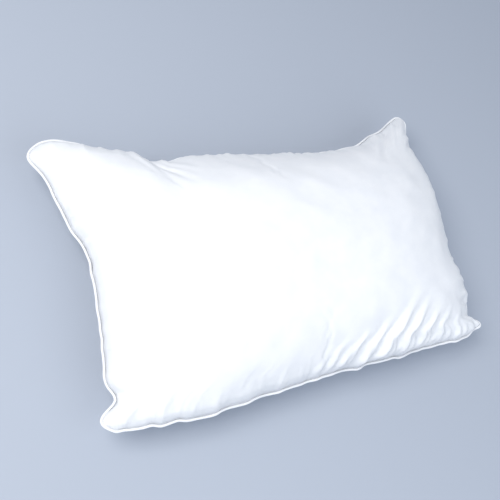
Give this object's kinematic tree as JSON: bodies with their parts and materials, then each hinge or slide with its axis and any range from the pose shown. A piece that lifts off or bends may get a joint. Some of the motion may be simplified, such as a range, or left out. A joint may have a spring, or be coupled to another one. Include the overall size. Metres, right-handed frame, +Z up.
{
  "type": "bed pillow",
  "caption": "Plump rectangular bed pillow with drawn-out corners, corded piping round the seam, a stitched-up filling gap and a small folded care label.",
  "frame": {"origin": "on the bed, under the middle of the pillow as it lies on its back", "axes": "+X along the length, +Y towards the long edge that has the label, +Z up, out of the front"},
  "size_m": [0.759, 0.477, 0.188],
  "materials": {
    "shell_cloth": "fine matt cotton weave",
    "piping_cloth": "fine matt cotton weave",
    "cord": "twisted cotton",
    "thread": "spun polyester thread",
    "label_tape": "smooth satin tape",
    "liner_cloth": "thin non-woven cloth",
    "batting": "soft felted fibre",
    "fibre": "loose curly fibre"
  },
  "bodies": {
    "pillow": {"front_panel": "shell_cloth", "back_panel": "shell_cloth", "piping_cover": "piping_cloth", "piping_cord": "cord", "needle_thread": "thread", "bobbin_thread": "thread", "overlock_thread": "thread", "closing_stitches": "thread", "liner_front": "liner_cloth", "liner_back": "liner_cloth", "liner_thread": "thread", "batting_front": "batting", "batting_back": "batting", "fibre_core": "fibre"},
    "label": {"care_label": "label_tape"}
  },
  "joints": [
    {"name": "label_hinge", "type": "hinge", "parent": "pillow", "child": "label", "pos_m": [0, 0.1794, 0.0728], "axis": [1, 0, 0], "range_deg": [0, 85]}
  ]
}
